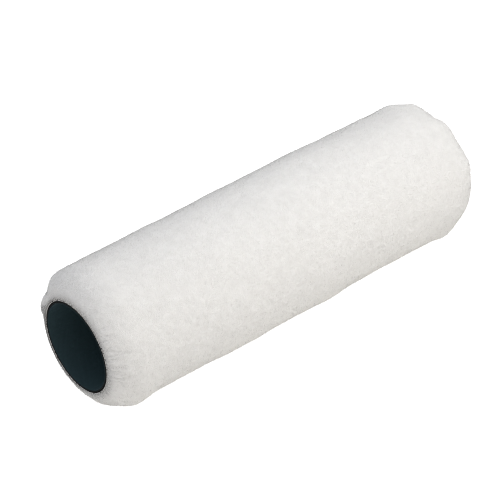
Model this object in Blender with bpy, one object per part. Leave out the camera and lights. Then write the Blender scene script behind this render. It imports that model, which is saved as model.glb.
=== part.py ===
"""A plush paint roller sleeve, lying on its side with its axis along X.

Two plastic strips are wound one over the other to make the core. A knitted strip that carries the pile
is wound over them, and a film of adhesive lies in each joint. All of it is cut square to one length.
"""

import math

import bmesh
import bpy

# Driving dimensions, in metres. Radii follow from the bore outwards.
SLEEVE_LENGTH = 0.2286
BORE_RADIUS = 0.04445 / 2
STRIP_THICKNESS = 0.0004
ADHESIVE_THICKNESS = 0.0001
FILM_CLEARANCE = 0.0001
BACKING_THICKNESS = 0.0005
PILE_CLEARANCE = 0.0003
OUTER_RADIUS = 0.0360

# Winding: the axial advance in one turn, and the open butt seam between one turn and the next.
LEAD = 0.074
SEAM_GAP = 0.0004
SEGMENTS = 48

# The pile is combed round at both ends, and its own weight presses a flat along its underside.
END_ROUND = 0.015
END_ROUND_SQUARENESS = 1.7
END_RING = 0.0005
END_ROUND_STEPS = 6
REST_FLAT_DEPTH = 0.0006
AXIS_HEIGHT = OUTER_RADIUS - REST_FLAT_DEPTH

# Tolerances of the saw cut and of the edges that stay sharp in shading.
CUT_TOLERANCE = 1e-7
SHARP_ANGLE_DEG = 30

JOINT = FILM_CLEARANCE + ADHESIVE_THICKNESS + FILM_CLEARANCE
OUTER_STRIP_RADIUS = BORE_RADIUS + STRIP_THICKNESS + JOINT
BACKING_RADIUS = OUTER_STRIP_RADIUS + STRIP_THICKNESS + JOINT
PILE_INNER_RADIUS = BACKING_RADIUS + BACKING_THICKNESS + PILE_CLEARANCE

# Where each layer's seam starts round the axis, as a share of a turn, so that no seam lies over another.
INNER_STRIP_SEAM = 0.43
CORE_ADHESIVE_SEAM = 0.68
OUTER_STRIP_SEAM = 0.93
FABRIC_ADHESIVE_SEAM = 0.13
BACKING_SEAM = 0.30


def clear_scene():
    for obj in list(bpy.data.objects):
        bpy.data.objects.remove(obj)


def plain_material(name, colour, roughness):
    material = bpy.data.materials.new(name)
    material.use_nodes = True
    shader = material.node_tree.nodes["Principled BSDF"]
    shader.inputs["Base Color"].default_value = (*colour, 1.0)
    shader.inputs["Roughness"].default_value = roughness
    shader.inputs["Metallic"].default_value = 0.0
    return material


def finish_object(name, bm, material, axis):
    """Turns the working mesh into a named object whose local X axis is the sleeve's own axis."""
    bmesh.ops.recalc_face_normals(bm, faces=bm.faces)
    mesh = bpy.data.meshes.new(name)
    bm.to_mesh(mesh)
    bm.free()
    mesh.materials.append(material)
    mesh.shade_smooth()
    mesh.set_sharp_from_angle(angle=math.radians(SHARP_ANGLE_DEG))
    obj = bpy.data.objects.new(name, mesh)
    bpy.context.scene.collection.objects.link(obj)
    obj.parent = axis
    return obj


def cut_square(bm, end):
    """Saws the winding off square at one end, -1 or 1, and closes the cut."""
    geometry = bm.verts[:] + bm.edges[:] + bm.faces[:]
    bmesh.ops.bisect_plane(
        bm,
        geom=geometry,
        dist=CUT_TOLERANCE,
        plane_co=(end * SLEEVE_LENGTH / 2, 0, 0),
        plane_no=(end, 0, 0),
        clear_outer=True,
    )
    rim = [edge for edge in bm.edges if edge.is_boundary]
    cap = bmesh.ops.holes_fill(bm, edges=rim, sides=0)["faces"]
    bmesh.ops.triangulate(bm, faces=cap, ngon_method="EAR_CLIP")


def wound_strip(name, inner_radius, thickness, seam_share, material, axis):
    """A strip wound in a helix with a butt seam, then cut square at both ends."""
    turns = math.ceil(SLEEVE_LENGTH / LEAD) + 2
    first = -turns * LEAD / 2 - seam_share * LEAD
    last = first + LEAD - SEAM_GAP
    bm = bmesh.new()
    section = [
        bm.verts.new((first, 0, inner_radius)),
        bm.verts.new((last, 0, inner_radius)),
        bm.verts.new((last, 0, inner_radius + thickness)),
        bm.verts.new((first, 0, inner_radius + thickness)),
    ]
    face = bm.faces.new(section)
    bmesh.ops.spin(
        bm,
        geom=[face, *face.edges, *face.verts],
        cent=(0, 0, 0),
        axis=(1, 0, 0),
        dvec=(LEAD / SEGMENTS, 0, 0),
        angle=math.tau * turns,
        steps=SEGMENTS * turns,
    )
    cut_square(bm, -1)
    cut_square(bm, 1)
    return finish_object(name, bm, material, axis)


def end_curve():
    """Points along the rounded end of the pile, as (distance in from the end, radius).

    They lie on a quarter of a superellipse: an exponent of 2 is a true ellipse, and 1 a straight bevel.
    """
    start_radius = PILE_INNER_RADIUS + END_RING
    power = 2 / END_ROUND_SQUARENESS
    points = []
    for step in range(END_ROUND_STEPS + 1):
        angle = math.pi / 2 * step / END_ROUND_STEPS
        inset = END_ROUND * (1 - max(math.cos(angle), 0.0) ** power)
        radius = start_radius + (OUTER_RADIUS - start_radius) * math.sin(angle) ** power
        points.append((inset, radius))
    return points


def pile_sleeve(name, material, axis):
    """The pile as one turned sleeve with rounded ends, pressed flat where it rests."""
    half = SLEEVE_LENGTH / 2
    curve = end_curve()
    outline = [(-half, PILE_INNER_RADIUS)]
    outline += [(inset - half, radius) for inset, radius in curve]
    outline += [(half - inset, radius) for inset, radius in reversed(curve)]
    outline += [(half, PILE_INNER_RADIUS)]

    bm = bmesh.new()
    verts = [bm.verts.new((x, 0, radius)) for x, radius in outline]
    edges = [bm.edges.new((verts[index - 1], verts[index])) for index in range(len(verts))]
    bmesh.ops.spin(
        bm,
        geom=verts + edges,
        cent=(0, 0, 0),
        axis=(1, 0, 0),
        angle=math.tau,
        steps=SEGMENTS,
        use_merge=True,
    )
    for vert in bm.verts:
        vert.co.z = max(vert.co.z, -AXIS_HEIGHT)
    return finish_object(name, bm, material, axis)


def build():
    clear_scene()
    axis = bpy.data.objects.new("sleeve_axis", None)
    axis.location.z = AXIS_HEIGHT
    bpy.context.scene.collection.objects.link(axis)

    dark_plastic = plain_material("dark_plastic", (0.010, 0.017, 0.020), 0.5)
    adhesive = plain_material("adhesive", (0.25, 0.23, 0.20), 0.4)
    knit = plain_material("knit", (0.62, 0.60, 0.56), 0.9)
    plush = plain_material("plush", (0.86, 0.85, 0.82), 1.0)

    inner_film = BORE_RADIUS + STRIP_THICKNESS + FILM_CLEARANCE
    outer_film = OUTER_STRIP_RADIUS + STRIP_THICKNESS + FILM_CLEARANCE
    layers = [
        ("core_inner_strip", BORE_RADIUS, STRIP_THICKNESS, INNER_STRIP_SEAM, dark_plastic),
        ("core_adhesive", inner_film, ADHESIVE_THICKNESS, CORE_ADHESIVE_SEAM, adhesive),
        ("core_outer_strip", OUTER_STRIP_RADIUS, STRIP_THICKNESS, OUTER_STRIP_SEAM, dark_plastic),
        ("fabric_adhesive", outer_film, ADHESIVE_THICKNESS, FABRIC_ADHESIVE_SEAM, adhesive),
        ("backing_strip", BACKING_RADIUS, BACKING_THICKNESS, BACKING_SEAM, knit),
    ]
    for name, inner_radius, thickness, seam_share, material in layers:
        wound_strip(name, inner_radius, thickness, seam_share, material, axis)
    pile_sleeve("pile", plush, axis)


build()
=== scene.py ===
"""The look of a plush paint roller sleeve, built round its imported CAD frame.

The core strips and the adhesive films are the CAD nodes with better materials. The knitted backing strip
and the pile are made here. The backing is a strip with a looped cut edge. The pile is a combed body with
separate fibres standing on it.
"""

import math

import bmesh
import bpy
import numpy as np
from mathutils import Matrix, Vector


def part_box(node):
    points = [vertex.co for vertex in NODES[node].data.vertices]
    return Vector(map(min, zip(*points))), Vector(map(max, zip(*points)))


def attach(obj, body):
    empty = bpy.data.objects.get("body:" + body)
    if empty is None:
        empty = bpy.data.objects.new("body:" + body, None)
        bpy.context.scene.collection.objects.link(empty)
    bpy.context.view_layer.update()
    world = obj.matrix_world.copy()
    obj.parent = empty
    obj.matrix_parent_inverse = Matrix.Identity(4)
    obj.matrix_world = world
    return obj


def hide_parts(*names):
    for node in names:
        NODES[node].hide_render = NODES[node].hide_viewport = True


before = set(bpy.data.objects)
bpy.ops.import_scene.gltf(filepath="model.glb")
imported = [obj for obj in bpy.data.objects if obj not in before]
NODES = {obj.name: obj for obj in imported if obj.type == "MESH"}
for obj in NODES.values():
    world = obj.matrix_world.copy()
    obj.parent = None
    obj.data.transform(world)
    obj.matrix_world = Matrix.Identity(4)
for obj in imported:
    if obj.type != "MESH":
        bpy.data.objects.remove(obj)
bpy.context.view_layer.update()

# Sizes read from the frame, in metres.
BORE_LOW, BORE_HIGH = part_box("core_inner_strip")
PILE_LOW, PILE_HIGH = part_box("pile")
BACKING_LOW, BACKING_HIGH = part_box("backing_strip")
AXIS_HEIGHT = (BORE_LOW[2] + BORE_HIGH[2]) / 2
HALF_LENGTH = (PILE_HIGH[0] - PILE_LOW[0]) / 2
OUTER_RADIUS = (PILE_HIGH[1] - PILE_LOW[1]) / 2
BACKING_OUTER = (BACKING_HIGH[1] - BACKING_LOW[1]) / 2

MM = 0.001
SEED = 20

# The smooth noise: numbers that scatter its lattice points at random, and its gain.
SCATTER_X = 73856093
SCATTER_Y = 19349663
SCATTER_Z = 83492791
SCATTER_SEED = 2654435
SCATTER_AGAIN = 1274126177
LOW_16_BITS = 0xFFFF
LOW_32_BITS = 0xFFFFFFFF
NOISE_GAIN = 1.6

# The knitted strip: its thickness, its winding, and the loops along its cut edge.
BACKING_THICKNESS = 0.5 * MM
LEAD = 74 * MM
SEAM_GAP = 0.4 * MM
BACKING_SEAM = 0.30
LOOPS_PER_TURN = 200
STEPS_PER_LOOP = 4
LOOP_REACH = 0.22 * MM
LOOP_SWAY = 0.09 * MM
LEAST_SWAY = 0.3
# Rows of points through the strip's thickness: share of the thickness, and share of the loops' reach.
KNIT_ROWS = ((0.0, 0.2), (0.5, 1.0), (1.0, 0.3))

# The pile's outline: how far it is combed round at each end, and how square that round is.
NEAR_ROUND = 16 * MM
NEAR_SQUARENESS = 1.75
FAR_ROUND = 19 * MM
FAR_SQUARENESS = 1.7
OUTLINE_POINTS = 200

# The rim: how far the outline starts from the backing and past the saw cut, how far the body is from the
# backing, and how far out from the backing the surface starts to be uneven.
RIM_GAP = 0.25 * MM
RIM_REACH = 0.5 * MM
PILE_GAP = 0.3 * MM
RIM_CALM = 2.5 * MM
RIM_RADIUS = BACKING_OUTER + RIM_GAP

# Sides of the sleeve, as (Y, Z) directions out from its axis: where the pile bulges over the cut, where its
# combed ends are creased most, and where it is brushed smooth.
BULGE_SIDE = (0.95, -0.3)
BULGE = 0.9 * MM
CREASED_SIDE = (-0.966, -0.259)
CREASED_LEAST = 0.3
SMOOTH_SIDE = (-0.56, 0.83)
SMOOTHED = 0.2
RUFFLED = 1.4

# Unevenness of the pile, from broad to fine: how high it stands, and how wide one swelling is.
BROAD_HEIGHT = 0.55 * MM
BROAD_SIZE = 34 * MM
MIDDLE_HEIGHT = 0.28 * MM
MIDDLE_SIZE = 13 * MM
CLUMP_HEIGHT = 0.12 * MM
CLUMP_SIZE = 3.6 * MM
TUFT_HEIGHT = 0.10 * MM
TUFT_SIZE = 1.7 * MM

# Single dents and swells: place along the axis from the near end, angle in degrees from straight up towards
# the front, -Y, spread and height. All lengths are in millimetres.
SWELLS = [
    (1, -77, 6, 1.6),
    (5, -66, 3, -0.7),
    (8, -52, 5, 1.2),
    (62, -44, 16, 0.8),
    (110, -44, 26, 0.6),
    (155, -42, 26, 1.2),
    (190, -42, 14, 0.5),
    (212, -30, 6, 1.2),
    (220, -18, 5, 1.5),
    (226, 0, 4, -0.9),
    (227, 18, 6, 1.0),
    (226, 62, 8, 0.7),
    (5, 156, 7, 0.7),
    (14, 134, 7, 1.2),
    (90, 128, 22, 0.9),
    (130, 128, 22, 0.7),
    (212, 134, 7, 1.6),
]

# The combed ends: how far in they reach, and the creases that run out over them. A crease is cut down to
# the bottom and rises by the slope to the top. The last two are in millimetres.
COMBED_LENGTH = 9 * MM
CREASE_RADIUS = 28 * MM
CREASE_SIZE = 2.2 * MM
CREASE_STRETCH = 0.25
CREASE_SLOPE = 1.4
CREASE_TOP = 0.5
CREASE_BOTTOM = 0.3

# The pile's body: how far it lies under the outline, so that the fibres' tips make the outline, how wide
# its faces are, and how much deeper its tufts are than those of the tips.
BODY_DEPTH = 0.7 * MM
BODY_STEP = 0.8 * MM
BODY_TUFTS = 1.3

# The fibres: their number, their size, and where they stand.
FIBRES = 288000
FIBRE_LENGTH = 2.4 * MM
LENGTH_VARIES = 0.18 * MM
FIBRE_WIDTH = 0.30 * MM
WIDTH_VARIES = (0.7, 1.3)
ROOT_DEPTH = 0.7 * MM
TIP_DROP = 0.25 * MM
CORE_CLEARANCE = 0.05 * MM
ROOT_STEP = 0.1 * MM
ROOT_SEQUENCE = (0.7548776662466927, 0.5698402909980532)
ROOT_JITTER = 0.002
FIBRE_FACES = np.array([[0, 1, 3], [1, 2, 3], [2, 0, 3], [2, 1, 0]])

# How the fibres lean, as slopes: all round the roller, in drifts, in tufts, each its own way, and outwards
# at the combed ends, where they lean less to the side. The height is the rise of a fibre along its length.
ROUND_LEAN = 0.45
DRIFT_LEAN = 0.2
DRIFT_SIZE = 8 * MM
TUFT_LEAN = 0.4
TUFT_LEAN_SIZE = 1.6 * MM
STRAY_LEAN = 0.35
COMBED_LEAN = 0.6
COMBED_STRAIGHT = 0.85
LEAST_HEIGHT = 0.45
SKEW = 0.3

# How a fibre is lit, besides as part of the surface: by its lean, and as a round strand of its own.
LEAN_SHADE = 0.2
OWN_SHADE = 1.05

# The fibres' tone: in clumps and one by one, painted shade in the partings, and lighter at the very rim.
CLUMP_TONE = 0.3
CLUMP_TONE_SIZE = 1.5 * MM
FINE_TONE = 0.8
FINE_TONE_SIZE = 0.8 * MM
STRAY_TONE = 0.5
PARTING_WIDTH = 0.18
PARTING_SHADE = 3.2
PARTING_LENGTH = 4.5 * MM
RIM_LIGHT = 1.0
RIM_LIGHT_LENGTH = 0.5 * MM

# Fibres that painted shade pushes under a limit get dark colours. The rest share the lighter tones evenly.
SHADE_TONES = [(-2.0, (0.28, 0.27, 0.26)), (-1.3, (0.54, 0.53, 0.52))]
LIGHTER_TONES = [
    (0.835, 0.825, 0.80),
    (0.865, 0.855, 0.83),
    (0.885, 0.875, 0.85),
    (0.90, 0.89, 0.865),
    (0.915, 0.905, 0.88),
    (0.935, 0.925, 0.90),
]

# Core plastic and adhesive, which is stained by the layer that it lies on.
WALL = (0.030, 0.058, 0.068)
WALL_STREAK = 0.12
WALL_ROUGHNESS = (0.52, 0.70)
WALL_SPECULAR = 0.25
SAWN_SPECULAR = 0.03
INNER_EDGE = (0.014, 0.025, 0.029)
OUTER_EDGE = (0.002, 0.002, 0.002)
CORE_FILM = ((0.006, 0.006, 0.006), (0.015, 0.014, 0.013))
FABRIC_FILM = ((0.015, 0.014, 0.013), (0.030, 0.028, 0.026))
WALL_RELIEF = 0.03 * MM
FILM_RELIEF = 0.05 * MM
# The length of one turn of the winding, how its pattern slants, and how near to the cut counts as sawn.
TURN_LENGTH = 148 * MM
SLANT = 0.5
SAWN_MARGIN = 0.02 * MM
# How many spots of each pattern there are in a metre, and how much the streaks are drawn out.
STREAK_DRAWN = 0.06
STREAK_COUNT = 700.0
BLOTCH_COUNT = 45.0
SAW_COUNT = 2600.0
FILM_GRAIN_COUNT = 900.0

# Knitted backing and plush: colours, relief, spots of each pattern in a metre, and the pile's shaded cut.
YARN = ((0.32, 0.315, 0.31), (0.62, 0.61, 0.59))
YARN_GAP = (0.10, 0.10, 0.11)
YARN_RELIEF = 0.12 * MM
COURSE_RATIO = 1.2
FUZZ_COUNT = 3500.0
GAP_COUNT = 900.0
CLUMP_COUNT = 260.0
STRAND_COUNT = 2400.0
PATCH_COUNT = 40.0
SHEEN_COUNT = 800.0
BODY_WHITE = ((0.80, 0.79, 0.775), (0.90, 0.893, 0.88))
BODY_WARM = (0.90, 0.885, 0.86, 1.0)
BODY_RELIEF = 0.5 * MM
BODY_SHADED = (0.35, 0.345, 0.34, 1.0)
BODY_SHADED_LENGTH = 0.5 * MM

# The floor: its size, its colour, and how strongly it glows to the camera and to the object.
FLOOR_SIZE = 8.0
FLOOR_COLOUR = (0.86, 0.845, 0.815, 1.0)
FLOOR_GLOW = 0.80
FLOOR_BOUNCE = 0.23
WHITE = (1.0, 1.0, 1.0, 1.0)

# The studio is a white room, brightest overhead. Its light is cooler high up behind the sleeve, at +Y.
BRIGHT_SIDE = Vector((0.25, -0.15, 0.95)).normalized()
DIM_STRENGTH = 0.34
BRIGHT_STRENGTH = 0.775
COOL_SIDE = Vector((0.15, 0.70, 0.65)).normalized()
COOL_LIGHT = (0.96, 0.99, 1.05, 1.0)
WARM_LIGHT = (1.05, 1.0, 0.93, 1.0)

# Each lamp: the way from the sleeve to it, its distance, its size, its power and its colour.
LAMPS = {
    "key": ((0.16, -0.35, 0.60), 0.50, 0.32, 0.99, (1.0, 0.985, 0.955)),
    "fill": ((-0.80, 0.35, 0.50), 1.0, 0.8, 0.45, (0.88, 0.95, 1.16)),
}

# The camera looks down on the near end from its left, with a long lens and no roll.
CAMERA_TURN_DEG = 39.7
CAMERA_ELEVATION_DEG = 38.75
CAMERA_DISTANCE = 1.1106
CAMERA_LENS_MM = 163.5
CAMERA_SENSOR_MM = 36.0
LOOK_AT = Vector((-0.0061, 0.0039, AXIS_HEIGHT))


# ---------------------------------------------------------------- shapes


def noise(points, cell, seed):
    """Smooth gradient noise, from about -1 to 1, with features about one cell across."""
    lattice = points / cell
    base = np.floor(lattice).astype(np.int64)
    part = lattice - base
    weight = part * part * part * (part * (part * 6 - 15) + 10)
    total = np.zeros(len(points))
    for corner in range(8):
        step = np.array([corner & 1, corner >> 1 & 1, corner >> 2 & 1])
        key = base + step
        # Each lattice point gets a random direction: 16 bits for its turn and 16 for its height.
        mixed = key[:, 0] * SCATTER_X ^ key[:, 1] * SCATTER_Y ^ key[:, 2] * SCATTER_Z
        mixed = mixed ^ seed * SCATTER_SEED
        mixed = (mixed ^ mixed >> 13) * SCATTER_AGAIN & LOW_32_BITS
        mixed = mixed ^ mixed >> 16
        turn = (mixed & LOW_16_BITS) / LOW_16_BITS * math.tau
        height = (mixed >> 16 & LOW_16_BITS) / LOW_16_BITS * 2 - 1
        flat = np.sqrt(1 - height * height)
        gradient = np.stack([np.cos(turn) * flat, np.sin(turn) * flat, height], axis=1)
        share = np.prod(np.where(step, weight, 1 - weight), axis=1)
        total += share * np.sum(gradient * (part - step), axis=1)
    return total * NOISE_GAIN


def unit(vectors):
    """The same directions with a length of one."""
    return vectors / np.linalg.norm(vectors, axis=-1, keepdims=True)


def around(angle, axial, radius):
    """Points at an angle round the sleeve's axis, at a place along it and at a radius from it."""
    return np.stack(
        [axial, radius * np.cos(angle), AXIS_HEIGHT + radius * np.sin(angle)], axis=-1
    )


def outline(spacing):
    """The pile's outline from rim to rim: axial place, radius, and outward normal as (axial, radial)."""
    rise = OUTER_RADIUS - RIM_RADIUS
    turn = np.linspace(0, math.pi / 2, OUTLINE_POINTS)
    ends = []
    for length, squareness in ((NEAR_ROUND, NEAR_SQUARENESS), (FAR_ROUND, FAR_SQUARENESS)):
        power = 2 / squareness
        inset = length * (1 - np.cos(turn).clip(0) ** power)
        ends.append((HALF_LENGTH + RIM_REACH - inset, RIM_RADIUS + rise * np.sin(turn) ** power))
    (near_axial, near_radius), (far_axial, far_radius) = ends
    axial = np.concatenate([-near_axial, far_axial[::-1]])
    radius = np.concatenate([near_radius, far_radius[::-1]])
    along = np.concatenate([[0], np.cumsum(np.hypot(np.diff(axial), np.diff(radius)))])
    count = int(round(along[-1] / spacing)) + 1
    even = np.linspace(0, along[-1], count)
    axial = np.interp(even, along, axial)
    radius = np.interp(even, along, radius)
    d_axial = np.gradient(axial)
    d_radius = np.gradient(radius)
    length = np.hypot(d_axial, d_radius)
    return axial, radius, -d_radius / length, d_axial / length


def turned_to(points, side):
    """One for points on the given side of the sleeve, falling to nought a quarter of a turn away."""
    out = points[:, 1:] - np.array([0.0, AXIS_HEIGHT])
    return np.maximum(out @ np.array(side), 0.0) / np.linalg.norm(out, axis=1)


def swell(points):
    """How far the pile stands proud of its plain outline at an array of points on it."""
    axial = points[:, 0] + HALF_LENGTH
    angle = np.degrees(np.arctan2(-points[:, 1], points[:, 2] - AXIS_HEIGHT))
    total = BROAD_HEIGHT * noise(points, BROAD_SIZE, SEED)
    total = total + MIDDLE_HEIGHT * noise(points, MIDDLE_SIZE, SEED + 1)
    for place, towards, spread, height in SWELLS:
        turned = np.radians((angle - towards + 180) % 360 - 180) * OUTER_RADIUS
        distance = np.hypot(axial - place * MM, turned) / (spread * MM)
        total += height * MM * np.exp(-distance * distance)
    return total


def end_share(points):
    """One at the rims, falling to nought over the combed ends."""
    from_end = HALF_LENGTH - np.abs(points[:, 0])
    return np.exp(-((from_end / COMBED_LENGTH) ** 2))


def creases(points):
    """Smooth noise, from about -1 to 1, that is drawn straight out from the rims."""
    out = points[:, 1:] - np.array([0.0, AXIS_HEIGHT])
    drawn = np.concatenate([points[:, :1] * CREASE_STRETCH, unit(out) * CREASE_RADIUS], axis=1)
    return noise(drawn, CREASE_SIZE, SEED + 4)


def creased(points):
    """How deep the creases are, from a little where the rim is smooth to one where it has been handled."""
    return CREASED_LEAST + (1 - CREASED_LEAST) * turned_to(points, CREASED_SIDE)


def tufts(points):
    """The finer clumps that the fibres gather in, drawn out into creases where the ends are combed."""
    share = end_share(points)
    section = np.minimum(CREASE_SLOPE * np.abs(creases(points)), CREASE_TOP) - CREASE_BOTTOM
    return (
        (1 - share) * CLUMP_HEIGHT * noise(points, CLUMP_SIZE, SEED + 2)
        + TUFT_HEIGHT * noise(points, TUFT_SIZE, SEED + 3)
        + share * MM * creased(points) * section
    )


def ruffled(points):
    """How far the tufts stand apart: least on the side that is brushed smooth, and one at the rims."""
    amount = RUFFLED - (RUFFLED - SMOOTHED) * turned_to(points, SMOOTH_SIDE) ** 3
    return amount + (1 - amount) * end_share(points)


def at_rim(points):
    """Nought at the rims and one a little way out, so that the pile stays clear of the core."""
    out = np.hypot(points[:, 1], points[:, 2] - AXIS_HEIGHT) - BACKING_OUTER
    return np.clip(out / RIM_CALM, 0.0, 1.0)


def overhang(points):
    """How far the pile bulges out over the cut on the side where it has been pushed along."""
    return BULGE * turned_to(points, BULGE_SIDE) * (1 - at_rim(points))


def press(points):
    """Presses the pile flat where it lies on the floor."""
    floor = points[:, 2] < 0
    points[floor, 2] = 0
    return points


def make_piece(name, points, faces, material):
    """A smooth mesh object from arrays of points and of faces with the same number of corners."""
    mesh = bpy.data.meshes.new(name)
    count, corners = faces.shape
    mesh.vertices.add(len(points))
    mesh.vertices.foreach_set("co", points.astype(np.float32).ravel())
    mesh.loops.add(count * corners)
    mesh.loops.foreach_set("vertex_index", faces.astype(np.int32).ravel())
    mesh.polygons.add(count)
    mesh.polygons.foreach_set("loop_start", np.arange(count, dtype=np.int32) * corners)
    mesh.update(calc_edges=True)
    mesh.shade_smooth()
    mesh.materials.append(material)
    piece = bpy.data.objects.new(name, mesh)
    bpy.context.scene.collection.objects.link(piece)
    return piece


def face_outwards(piece):
    """Turns every face of a closed mesh outwards."""
    bm = bmesh.new()
    bm.from_mesh(piece.data)
    bmesh.ops.recalc_face_normals(bm, faces=bm.faces)
    bm.to_mesh(piece.data)
    bm.free()


# ---------------------------------------------------------------- shader nodes


class Nodes:
    """Short calls for building a tree of shader nodes."""

    def __init__(self, tree):
        self.tree = tree

    def add(self, kind, **settings):
        node = self.tree.nodes.new(kind)
        for key, value in settings.items():
            setattr(node, key, value)
        return node

    def link(self, source, target):
        self.tree.links.new(source, target)

    def feed(self, target, value):
        """Links a socket, or sets a plain value."""
        if isinstance(value, bpy.types.NodeSocket):
            self.link(value, target)
        else:
            target.default_value = value

    def maths(self, operation, first, second=0.0, third=0.0):
        node = self.add("ShaderNodeMath", operation=operation)
        for socket, value in zip(node.inputs, (first, second, third)):
            self.feed(socket, value)
        return node.outputs[0]

    def split(self, vector):
        node = self.add("ShaderNodeSeparateXYZ")
        self.link(vector, node.inputs[0])
        return node.outputs

    def join(self, x, y, z):
        node = self.add("ShaderNodeCombineXYZ")
        for socket, value in zip(node.inputs, (x, y, z)):
            self.feed(socket, value)
        return node.outputs[0]

    def dot(self, vector, direction):
        node = self.add("ShaderNodeVectorMath", operation="DOT_PRODUCT")
        self.link(vector, node.inputs[0])
        node.inputs[1].default_value = direction
        return node.outputs["Value"]

    def speckle(self, vector, scale, detail=2.0, roughness=0.5):
        node = self.add("ShaderNodeTexNoise")
        self.link(vector, node.inputs["Vector"])
        node.inputs["Scale"].default_value = scale
        node.inputs["Detail"].default_value = detail
        node.inputs["Roughness"].default_value = roughness
        return node.outputs["Fac"]

    def ramp(self, value, stops):
        """Colours at the given places, blended evenly between them."""
        node = self.add("ShaderNodeValToRGB")
        self.link(value, node.inputs["Fac"])
        elements = node.color_ramp.elements
        while len(elements) < len(stops):
            elements.new(0.5)
        for element, (position, colour) in zip(elements, stops):
            element.position = position
            element.color = (*colour, 1.0)
        return node.outputs["Color"]

    def range(self, value, low, high, start=0.0):
        """Stretches a value, which runs from start to one, to run from low to high."""
        node = self.add("ShaderNodeMapRange")
        self.link(value, node.inputs["Value"])
        node.inputs["From Min"].default_value = start
        node.inputs["To Min"].default_value = low
        node.inputs["To Max"].default_value = high
        return node.outputs["Result"]

    def mix(self, factor, first, second):
        node = self.add("ShaderNodeMix", data_type="RGBA")
        self.feed(node.inputs["Factor"], factor)
        self.feed(node.inputs[6], first)
        self.feed(node.inputs[7], second)
        return node.outputs[2]

    def product(self, first, second):
        node = self.add("ShaderNodeMix", data_type="RGBA", blend_type="MULTIPLY")
        node.inputs["Factor"].default_value = 1.0
        self.link(first, node.inputs[6])
        self.link(second, node.inputs[7])
        return node.outputs[2]


class Finish(Nodes):
    """A node material round its Principled shader, with the sleeve's own coordinates."""

    def __init__(self, name):
        self.material = bpy.data.materials.new(name)
        self.material.use_nodes = True
        super().__init__(self.material.node_tree)
        self.shader = self.tree.nodes["Principled BSDF"]

    def shade(self, name, value):
        """Links or sets one input of the shader."""
        self.feed(self.shader.inputs[name], value)

    def bump(self, height, distance, strength):
        node = self.add("ShaderNodeBump")
        self.link(height, node.inputs["Height"])
        node.inputs["Distance"].default_value = distance
        node.inputs["Strength"].default_value = strength
        self.shade("Normal", node.outputs["Normal"])

    def place(self):
        return self.add("ShaderNodeTexCoord").outputs["Object"]

    def wound(self):
        """Place on the unrolled winding: along it and across it."""
        x, y, z = self.split(self.place())
        height = self.maths("SUBTRACT", z, AXIS_HEIGHT)
        turn = self.maths("DIVIDE", self.maths("ARCTAN2", height, y), math.tau)
        across = self.maths("SUBTRACT", x, self.maths("MULTIPLY", turn, LEAD))
        run = self.maths("MULTIPLY", turn, TURN_LENGTH)
        along = self.maths("ADD", run, self.maths("MULTIPLY", x, SLANT))
        return along, across

    def from_end(self):
        """How far in from the nearer end of the sleeve."""
        x = self.split(self.place())[0]
        return self.maths("SUBTRACT", HALF_LENGTH, self.maths("ABSOLUTE", x))


# ---------------------------------------------------------------- materials


def scaled(colour, share):
    """The same colour, lighter or darker."""
    return tuple(value * share for value in colour)


def core_material(name, edge):
    """Extruded plastic strip: faint streaks along the winding, and sawn ends of another colour."""
    m = Finish(name)
    along, across = m.wound()
    drawn = m.speckle(m.join(m.maths("MULTIPLY", along, STREAK_DRAWN), across, 0.0), STREAK_COUNT, 3.0)
    blotch = m.speckle(m.place(), BLOTCH_COUNT, 3.0)
    uneven = m.maths("ADD", m.maths("MULTIPLY", drawn, 0.6), m.maths("MULTIPLY", blotch, 0.4))
    body = m.ramp(uneven, [(0.3, scaled(WALL, 1 - WALL_STREAK)), (0.7, scaled(WALL, 1 + WALL_STREAK))])
    saw = m.speckle(m.place(), SAW_COUNT, 2.0)
    sawn = m.ramp(saw, [(0.3, scaled(edge, 0.7)), (0.7, edge)])
    ends = m.maths("LESS_THAN", m.from_end(), SAWN_MARGIN)
    m.shade("Base Color", m.mix(ends, body, sawn))
    m.shade("Specular IOR Level", m.range(ends, WALL_SPECULAR, SAWN_SPECULAR))
    m.shade("Roughness", m.range(drawn, *WALL_ROUGHNESS))
    m.bump(m.maths("ADD", drawn, m.maths("MULTIPLY", saw, 0.3)), WALL_RELIEF, 0.4)
    return m.material


def adhesive_material(name, low, high):
    """Set adhesive with a fine grain."""
    m = Finish(name)
    grain = m.speckle(m.place(), FILM_GRAIN_COUNT, 3.0)
    m.shade("Base Color", m.ramp(grain, [(0.3, low), (0.7, high)]))
    m.shade("Roughness", m.range(grain, 0.5, 0.75))
    m.shade("Specular IOR Level", 0.05)
    m.bump(grain, FILM_RELIEF, 0.5)
    return m.material


def knit_material():
    """Weft knit: rows of loops along the strip, with darker gaps between them, and painted shade where it
    sinks.
    """
    m = Finish("knit_backing")
    along, across = m.wound()
    loop = math.tau * BACKING_OUTER / LOOPS_PER_TURN
    wale = m.maths("SINE", m.maths("MULTIPLY", along, math.tau / loop))
    course = m.maths("SINE", m.maths("MULTIPLY", across, math.tau / (loop * COURSE_RATIO)))
    weave = m.maths("MULTIPLY_ADD", m.maths("MULTIPLY", wale, course), 0.5, 0.5)
    fuzz = m.speckle(m.place(), FUZZ_COUNT, 3.0)
    height = m.maths("ADD", weave, m.maths("MULTIPLY", fuzz, 0.5))
    # The yarn is darker at the low points of the bump's height: painted shade in the hollows of the knit.
    yarn = m.ramp(height, [(0.3, YARN[0]), (1.0, YARN[1])])
    gap = m.ramp(m.speckle(m.place(), GAP_COUNT, 1.0), [(0.38, YARN_GAP), (0.45, WHITE[:3])])
    m.shade("Base Color", m.product(yarn, gap))
    m.shade("Roughness", m.range(fuzz, 0.8, 1.0))
    m.bump(height, YARN_RELIEF, 0.8)
    return m.material


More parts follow.
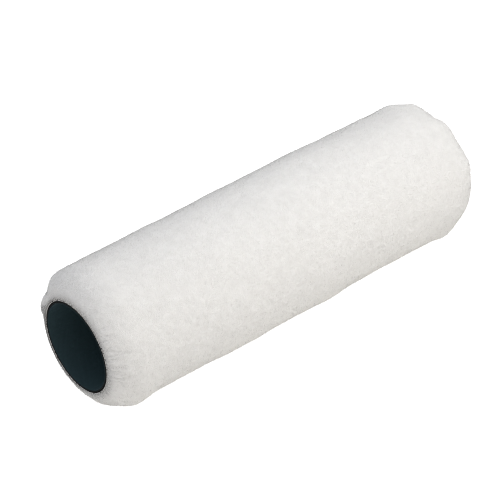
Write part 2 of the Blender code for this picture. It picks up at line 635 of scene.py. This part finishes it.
def pile_material():
    """The mass of fibres seen between the fibres that stand proud."""
    m = Finish("plush_body")
    place = m.place()
    clump = m.speckle(place, CLUMP_COUNT, 4.0, 0.6)
    strand = m.speckle(place, STRAND_COUNT, 3.0, 0.6)
    patch = m.speckle(place, PATCH_COUNT, 2.0)
    # Greyer where the clumps sink, in the hollows of the same noise's bump: painted shade.
    white = m.ramp(clump, [(0.25, BODY_WHITE[0]), (0.75, BODY_WHITE[1])])
    warm = m.mix(m.range(patch, 0.0, 0.35), white, BODY_WARM)
    shaded = m.maths("EXPONENT", m.maths("DIVIDE", m.from_end(), -BODY_SHADED_LENGTH))
    m.shade("Base Color", m.mix(shaded, warm, BODY_SHADED))
    m.shade("Roughness", m.range(strand, 0.85, 1.0))
    m.shade("Specular IOR Level", 0.2)
    m.bump(m.maths("ADD", m.maths("MULTIPLY", clump, 0.6), strand), BODY_RELIEF, 0.6)
    return m.material


def fibre_material(number, colour):
    """Polyester fibres of one tone, with an uneven sheen."""
    m = Finish(f"plush_fibre_{number}")
    m.shade("Base Color", (*colour, 1.0))
    m.shade("Roughness", 0.9)
    m.shade("Specular IOR Level", m.range(m.speckle(m.place(), SHEEN_COUNT, 2.0), 0.05, 0.35))
    return m.material


def floor_material():
    """White paper that the camera sees as evenly lit, and that throws less light back on the object."""
    m = Finish("white_paper")
    m.shade("Base Color", FLOOR_COLOUR)
    m.shade("Roughness", 1.0)
    m.shade("Specular IOR Level", 0.0)
    m.shade("Emission Color", WHITE)
    seen = m.add("ShaderNodeLightPath").outputs["Is Camera Ray"]
    m.shade("Emission Strength", m.range(seen, FLOOR_BOUNCE, FLOOR_GLOW))
    return m.material


# ---------------------------------------------------------------- the knitted backing


def backing():
    """The knitted strip, wound in a helix and cut square, with its loops showing along the cut edge."""
    inner = BACKING_OUTER - BACKING_THICKNESS
    per_turn = LOOPS_PER_TURN * STEPS_PER_LOOP
    width = LEAD - SEAM_GAP
    turns = (2 * HALF_LENGTH + width) / LEAD
    step = np.arange(1, int(turns * per_turn))
    left = -HALF_LENGTH - width + step * LEAD / per_turn
    right = left + width
    angle = BACKING_SEAM * math.tau + step * math.tau / per_turn
    loop = np.abs(np.sin(step * math.pi / STEPS_PER_LOOP))
    sway = np.sin(step * math.tau / STEPS_PER_LOOP)
    rows = []
    for share, reach in KNIT_ROWS:
        radius = inner + share * BACKING_THICKNESS
        for edge, sign in ((left, -1), (right, 1)):
            cut = np.abs(edge) >= HALF_LENGTH
            axial = np.clip(edge, -HALF_LENGTH, HALF_LENGTH)
            axial = axial + sign * cut * reach * LOOP_REACH * (loop - 0.5)
            swayed = radius + cut * LOOP_SWAY * sway * (LEAST_SWAY + (1 - LEAST_SWAY) * loop)
            rows.append(around(angle, axial, swayed))
    low_left, low_right, mid_left, mid_right, high_left, high_right = rows
    section = np.stack([low_left, low_right, mid_right, high_right, high_left, mid_left], axis=1)
    count = section.shape[1]
    first = (np.arange(len(step) - 1) * count)[:, None] + np.arange(count)
    after = (np.arange(len(step) - 1) * count)[:, None] + (np.arange(count) + 1) % count
    walls = np.stack([first, after, after + count, first + count], axis=-1).reshape(-1, 4)
    start = np.array([[0, 1, 2, 5], [5, 2, 3, 4]])
    stop = start[:, ::-1] + (len(step) - 1) * count
    faces = np.concatenate([walls, start, stop])
    piece = make_piece("backing_knit", section.reshape(-1, 3), faces, knit_material())
    face_outwards(piece)
    return piece


# ---------------------------------------------------------------- the pile


def pile_body():
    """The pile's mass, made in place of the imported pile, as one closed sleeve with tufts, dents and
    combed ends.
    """
    axial, radius, n_axial, n_radial = outline(BODY_STEP)
    columns = int(math.tau * OUTER_RADIUS / BODY_STEP)
    angle = np.arange(columns) * math.tau / columns
    rows = len(axial)
    grid_angle, grid_row = np.meshgrid(angle, np.arange(rows))
    grid_angle, grid_row = grid_angle.ravel(), grid_row.ravel()
    plain = around(grid_angle, axial[grid_row], radius[grid_row])
    uneven = swell(plain) + BODY_TUFTS * tufts(plain)
    lift = at_rim(plain) * uneven + overhang(plain) - BODY_DEPTH
    points = around(
        grid_angle,
        axial[grid_row] + lift * n_axial[grid_row],
        radius[grid_row] + lift * n_radial[grid_row],
    )
    points = press(points)
    inner = np.full(columns, BACKING_OUTER + PILE_GAP)
    near = around(angle, np.full(columns, BODY_DEPTH - HALF_LENGTH), inner)
    far = around(angle, np.full(columns, HALF_LENGTH - BODY_DEPTH), inner)
    points = np.concatenate([near, points, far])
    column = np.arange(columns)
    after = (column + 1) % columns
    faces = []
    for row in range(rows + 2):
        this = row * columns
        following = (row + 1) % (rows + 2) * columns
        faces.append(np.stack([this + column, this + after, following + after, following + column], axis=1))
    piece = make_piece("pile_body", points, np.concatenate(faces), pile_material())
    face_outwards(piece)
    return piece


def fibre_roots(draw):
    """Roots all over the outline: angle, axial place, radius, and outward normal as (axial, radial)."""
    axial, radius, n_axial, n_radial = outline(ROOT_STEP)
    area = np.concatenate([[0], np.cumsum((radius[1:] + radius[:-1]) / 2)])
    area /= area[-1]
    # An additive sequence spreads the roots evenly, and a little jitter breaks its rows up.
    index = np.arange(FIBRES)
    share = (index * ROOT_SEQUENCE[0] + draw.uniform(-ROOT_JITTER, ROOT_JITTER, FIBRES)) % 1.0
    angle = (index * ROOT_SEQUENCE[1] + draw.uniform(-ROOT_JITTER, ROOT_JITTER, FIBRES)) % 1.0 * math.tau
    row = np.arange(len(area))
    spot = np.interp(share, area, row)
    found = [np.interp(spot, row, values) for values in (axial, radius, n_axial, n_radial)]
    return angle, *found


def fibre_leans(draw, plain, rough):
    """How far each fibre leans round the roller and along it."""
    combed = end_share(plain)
    lean_round = ROUND_LEAN * (1 - combed) + DRIFT_LEAN * noise(plain, DRIFT_SIZE, SEED + 5)
    lean_round = lean_round + TUFT_LEAN * rough * noise(plain, TUFT_LEAN_SIZE, SEED + 6)
    lean_along = DRIFT_LEAN * noise(plain, DRIFT_SIZE, SEED + 7)
    lean_along = lean_along + TUFT_LEAN * rough * noise(plain, TUFT_LEAN_SIZE, SEED + 8)
    lean_along = lean_along + COMBED_LEAN * combed * np.sign(plain[:, 0])
    stray = STRAY_LEAN * np.minimum(rough, 1.0)
    lean_round = (lean_round + stray * draw.normal(0, 1, FIBRES)) * (1 - COMBED_STRAIGHT * combed)
    lean_along = lean_along + stray * draw.normal(0, 1, FIBRES)
    return lean_round, lean_along


def fibre_tones(draw, plain, radius, rough):
    """The tone of each fibre. The tufts part in lines that run out from the rims, where painted shade
    darkens them.
    """
    tone = CLUMP_TONE * noise(plain, CLUMP_TONE_SIZE, SEED + 10)
    tone = tone + FINE_TONE * noise(plain, FINE_TONE_SIZE, SEED + 11)
    # Random tone stops at the last limit, so only the partings' painted shade reaches the dark colours.
    tone = np.maximum(rough * (tone + draw.normal(0, STRAY_TONE, FIBRES)), SHADE_TONES[-1][0])
    from_rim = np.hypot(HALF_LENGTH - np.abs(plain[:, 0]), radius - RIM_RADIUS)
    parting_shade = creased(plain) * np.exp(-((creases(plain) / PARTING_WIDTH) ** 2))
    tone = tone - PARTING_SHADE * parting_shade * np.exp(-from_rim / PARTING_LENGTH)
    return tone + RIM_LIGHT * np.exp(-from_rim / RIM_LIGHT_LENGTH)


def by_tone(tone):
    """Splits the fibres by tone into groups, each with its colour."""
    order = np.argsort(tone, kind="stable")
    limits = np.searchsorted(tone[order], [limit for limit, colour in SHADE_TONES])
    *shade_groups, lighter_rest = np.split(order, limits)
    groups = shade_groups + np.array_split(lighter_rest, len(LIGHTER_TONES))
    colours = [colour for limit, colour in SHADE_TONES] + LIGHTER_TONES
    return zip(groups, colours)


def pile_fibres():
    """Fibres that stand on the body in combed tufts, as slim three-sided spikes."""
    draw = np.random.default_rng(SEED)
    angle, place, radius, n_axial, n_radial = fibre_roots(draw)
    plain = around(angle, place, radius)
    nought = np.zeros(FIBRES)
    round_way = np.stack([nought, -np.sin(angle), np.cos(angle)], axis=1)
    out_way = np.stack([nought, np.cos(angle), np.sin(angle)], axis=1)
    normal = n_radial[:, None] * out_way
    normal[:, 0] = n_axial
    along_way = -n_axial[:, None] * out_way
    along_way[:, 0] = n_radial

    rough = ruffled(plain)
    lean_round, lean_along = fibre_leans(draw, plain, rough)
    way = unit(normal + lean_round[:, None] * round_way + lean_along[:, None] * along_way)
    height = np.sum(way * normal, axis=1)
    depth = ROOT_DEPTH + BODY_DEPTH
    length = (depth + draw.normal(0.0, LENGTH_VARIES, FIBRES)) / np.maximum(height, LEAST_HEIGHT)
    length = np.minimum(length, FIBRE_LENGTH)
    lift = at_rim(plain) * (swell(plain) + tufts(plain)) + overhang(plain) - TIP_DROP
    top = plain + normal * lift[:, None]
    root = top - normal * depth - (way - normal * height[:, None]) * length[:, None] * 0.5
    tip = root + way * length[:, None]

    side = unit(np.cross(way, normal + SKEW * along_way))
    other = np.cross(way, side)
    width = FIBRE_WIDTH / 2 * draw.uniform(*WIDTH_VARIES, FIBRES)
    twist = draw.uniform(0, math.tau, FIBRES)
    spokes = []
    for corner in range(3):
        turned = (twist + corner * math.tau / 3)[:, None]
        spokes.append(np.cos(turned) * side + np.sin(turned) * other)
    corners = [root + width[:, None] * spoke for spoke in spokes]
    points = np.stack([*corners, tip], axis=1)
    away = points[:, :, 1:] - np.array([0.0, AXIS_HEIGHT])
    reach = np.linalg.norm(away, axis=2)
    away *= np.maximum(1.0, (BACKING_OUTER + CORE_CLEARANCE) / reach)[:, :, None]
    points[:, :, 1:] = away + np.array([0.0, AXIS_HEIGHT])

    # A fibre is lit mostly as part of the surface that it stands on, and a little as a strand of its own.
    own = np.stack([*spokes, way], axis=1)
    strand = OWN_SHADE * np.minimum(rough, 1.0)[:, None, None]
    tilts = unit(normal[:, None, :] + LEAN_SHADE * way[:, None, :] + strand * own)

    tone = fibre_tones(draw, plain, radius, rough)
    pieces = []
    for number, (chosen, colour) in enumerate(by_tone(tone), 1):
        block = press(points[chosen].reshape(-1, 3).copy())
        first = (np.arange(len(chosen)) * 4)[:, None]
        faces = np.concatenate([first + face for face in FIBRE_FACES])
        piece = make_piece(f"pile_fibres_{number}", block, faces, fibre_material(number, colour))
        piece.data.normals_split_custom_set_from_vertices(tilts[chosen].reshape(-1, 3))
        pieces.append(piece)
    return pieces


# ---------------------------------------------------------------- floor, light and camera


def lay_floor():
    """A wide flat sheet for the sleeve to lie on."""
    half = FLOOR_SIZE / 2
    corners = np.array([(-half, -half, 0), (half, -half, 0), (half, half, 0), (-half, half, 0)])
    return make_piece("floor", corners, np.array([[0, 1, 2, 3]]), floor_material())


def light_room():
    """The room's even light, which the camera itself sees as plain white."""
    world = bpy.data.worlds.new("studio")
    bpy.context.scene.world = world
    world.use_nodes = True
    sky = Nodes(world.node_tree)
    background = sky.tree.nodes["Background"]
    direction = sky.add("ShaderNodeTexCoord").outputs["Generated"]
    seen = sky.add("ShaderNodeLightPath").outputs["Is Camera Ray"]
    cool = sky.range(sky.dot(direction, COOL_SIDE), 0.0, 1.0, start=-1.0)
    tint = sky.mix(cool, WARM_LIGHT, COOL_LIGHT)
    sky.link(sky.mix(seen, tint, WHITE), background.inputs["Color"])
    facing = sky.dot(direction, BRIGHT_SIDE)
    strength = sky.range(facing, DIM_STRENGTH, BRIGHT_STRENGTH, start=-1.0)
    sky.link(sky.maths("MAXIMUM", seen, strength), background.inputs["Strength"])


def hang_lamps():
    """Round lamps that all face the middle of the sleeve."""
    for name, (towards, distance, size, power, colour) in LAMPS.items():
        towards = Vector(towards).normalized()
        lamp = bpy.data.lights.new(name, "AREA")
        lamp.shape = "DISK"
        lamp.size = size
        lamp.energy = power
        lamp.color = colour
        holder = bpy.data.objects.new(name, lamp)
        holder.location = Vector((0, 0, AXIS_HEIGHT)) + towards * distance
        holder.rotation_euler = towards.to_track_quat("Z", "Y").to_euler()
        bpy.context.scene.collection.objects.link(holder)


def set_camera():
    """The camera of the photo, facing the middle of its picture."""
    turn = math.radians(CAMERA_TURN_DEG)
    elevation = math.radians(CAMERA_ELEVATION_DEG)
    flat = math.cos(elevation)
    back = Vector((-math.sin(turn) * flat, -math.cos(turn) * flat, math.sin(elevation)))
    lens = bpy.data.cameras.new("camera")
    lens.sensor_width = CAMERA_SENSOR_MM
    lens.lens = CAMERA_LENS_MM
    camera = bpy.data.objects.new("camera", lens)
    camera.location = LOOK_AT + back * CAMERA_DISTANCE
    camera.rotation_euler = (-back).to_track_quat("-Z", "Y").to_euler()
    bpy.context.scene.collection.objects.link(camera)
    bpy.context.scene.camera = camera


# ---------------------------------------------------------------- putting it together


def give_material(name, material):
    """Gives a CAD node its material in place of its plain one."""
    materials = NODES[name].data.materials
    materials.clear()
    materials.append(material)


give_material("core_inner_strip", core_material("inner_core_plastic", INNER_EDGE))
give_material("core_outer_strip", core_material("outer_core_plastic", OUTER_EDGE))
give_material("core_adhesive", adhesive_material("core_film", *CORE_FILM))
give_material("fabric_adhesive", adhesive_material("fabric_film", *FABRIC_FILM))

knit = backing()
body = pile_body()
fibres = pile_fibres()

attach(knit, "root")
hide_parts("backing_strip")
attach(body, "root")
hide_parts("pile")
for piece in fibres:
    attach(piece, "root")

floor = lay_floor()
light_room()
hang_lamps()
set_camera()

# A narrow pixel filter and a plain denoising keep the fine grain of the plush.
bpy.context.scene.view_settings.view_transform = "Standard"
bpy.context.scene.cycles.filter_width = 1.0
bpy.context.scene.cycles.denoising_prefilter = "NONE"
